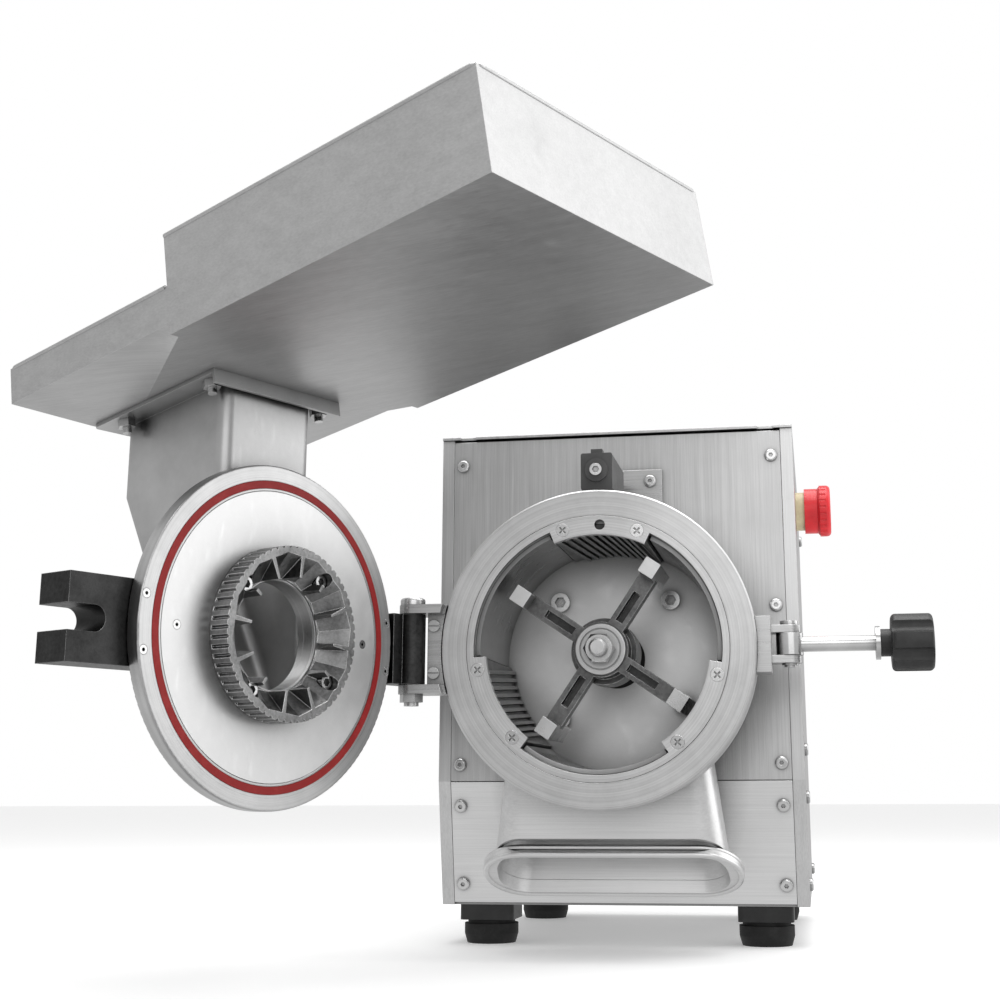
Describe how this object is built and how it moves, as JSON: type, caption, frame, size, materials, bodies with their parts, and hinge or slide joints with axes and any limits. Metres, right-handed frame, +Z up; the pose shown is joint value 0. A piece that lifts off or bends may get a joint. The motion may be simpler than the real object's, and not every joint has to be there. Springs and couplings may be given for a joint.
{
  "type": "hammer mill",
  "caption": "Bench hammer mill with a round drum, swing-open door carrying a tilted hopper, a swing-bolt latch and a flared discharge spout.",
  "frame": {"origin": "on the bench, in the middle of the four foot bolts", "axes": "+Z up, -Y towards the front of the machine where the drum opens, +X to the right seen from the front"},
  "size_m": [0.5755, 0.7725, 0.472],
  "materials": {
    "cabinet_sheet": "vertical brushed stainless sheet",
    "zinc_plate": "plain inner steel",
    "turned_steel": "circular machining marks, satin",
    "bright_plate": "fine bright satin",
    "welded_sheet": "satin sheet steel",
    "hard_steel": "dark hardened steel with bright worn edges",
    "hammer_steel": "ground hardened steel",
    "screw_steel": "bright zinc screws and pins",
    "bracket_steel": "satin steel brackets",
    "blackened_steel": "blackened steel",
    "black_plastic": "moulded black plastic",
    "switch_plastic": "dark grey moulded plastic",
    "foot_rubber": "black rubber",
    "seal_red": "red silicone",
    "stop_red": "red moulded plastic",
    "stop_yellow": "pale yellow plastic",
    "motor_paint": "grey motor paint"
  },
  "bodies": {
    "cabinet": {"base_plate": "zinc_plate", "bulkhead": "zinc_plate", "left_side_cover": "cabinet_sheet", "right_side_cover": "cabinet_sheet", "front_panel": "cabinet_sheet", "lower_front_panel": "cabinet_sheet", "rear_panel": "cabinet_sheet", "top_lid": "cabinet_sheet", "cover_screws": "screw_steel", "cable_gland": "black_plastic", "foot_blocks": "black_plastic", "rubber_feet": "foot_rubber", "drum_housing": "turned_steel", "drum_screws": "screw_steel", "back_plate": "bright_plate", "shaft_seal": "foot_rubber", "toothed_liners": "hard_steel", "smooth_liners": "welded_sheet", "sieve": "welded_sheet", "retaining_ring": "turned_steel", "retaining_ring_screws": "screw_steel", "spout_chute": "welded_sheet", "spout_flange": "turned_steel", "interlock_switch": "switch_plastic", "interlock_bracket": "bracket_steel", "bracket_screws": "screw_steel", "hinge_bracket": "bracket_steel", "hinge_pin": "screw_steel", "latch_bracket": "bracket_steel", "latch_pin": "screw_steel", "motor_housing": "motor_paint", "motor_front_shield": "motor_paint", "motor_rear_shield": "motor_paint", "motor_bearings": "motor_paint", "fan_cowl": "black_plastic", "motor_cradle": "zinc_plate", "terminal_box": "black_plastic", "stop_collar": "stop_yellow", "stop_contacts": "black_plastic"},
    "rotor": {"rotor_shaft": "hammer_steel", "rotor_hub": "hard_steel", "hammers": "hammer_steel", "rotor_washer": "turned_steel", "rotor_nut": "screw_steel", "motor_fan": "black_plastic"},
    "door": {"door_disc": "turned_steel", "door_inner_plate": "bright_plate", "door_seal": "seal_red", "breaker_crown": "hard_steel", "door_screws": "screw_steel", "hinge_leaf": "blackened_steel", "latch_lug": "blackened_steel", "feed_duct": "welded_sheet", "duct_bolts": "screw_steel", "hopper_tray": "welded_sheet"},
    "swing_bolt": {"swing_bolt": "screw_steel"},
    "knob_washer": {"knob_washer": "screw_steel"},
    "clamp_knob": {"clamp_knob": "black_plastic"},
    "stop_plunger": {"stop_plunger": "stop_red"},
    "stop_head": {"stop_head": "stop_red"}
  },
  "joints": [
    {"name": "door_swing", "type": "hinge", "parent": "cabinet", "child": "door", "pos_m": [-0.127, -0.27, 0.203], "axis": [0, 0, 1], "range_deg": [-30, 116.5]},
    {"name": "rotor_spin", "type": "hinge", "parent": "cabinet", "child": "rotor", "pos_m": [0, -0.27, 0.203], "axis": [0, 1, 0], "continuous": true},
    {"name": "bolt_swing", "type": "hinge", "parent": "cabinet", "child": "swing_bolt", "pos_m": [0.128, -0.258, 0.203], "axis": [0, 0, -1], "range_deg": [-30, 90]},
    {"name": "washer_travel", "type": "slide", "parent": "swing_bolt", "child": "knob_washer", "axis": [-1, 0, 0], "range_m": [0, 0.0072]},
    {"name": "knob_turn", "type": "hinge", "parent": "knob_washer", "child": "clamp_knob", "pos_m": [0.184, -0.258, 0.203], "axis": [-1, 0, 0], "range_deg": [0, 1710]},
    {"name": "stop_press", "type": "slide", "parent": "cabinet", "child": "stop_plunger", "axis": [-1, 0, 0], "range_m": [0, 0.004]},
    {"name": "stop_twist", "type": "hinge", "parent": "stop_plunger", "child": "stop_head", "pos_m": [0.134, -0.085, 0.323], "axis": [1, 0, 0], "range_deg": [0, 45], "stiffness_Nm_per_rad": 0.05}
  ],
  "couplings": [
    {"joint": "washer_travel", "follows": "knob_turn", "m_per_rad": 0.00023873}
  ]
}
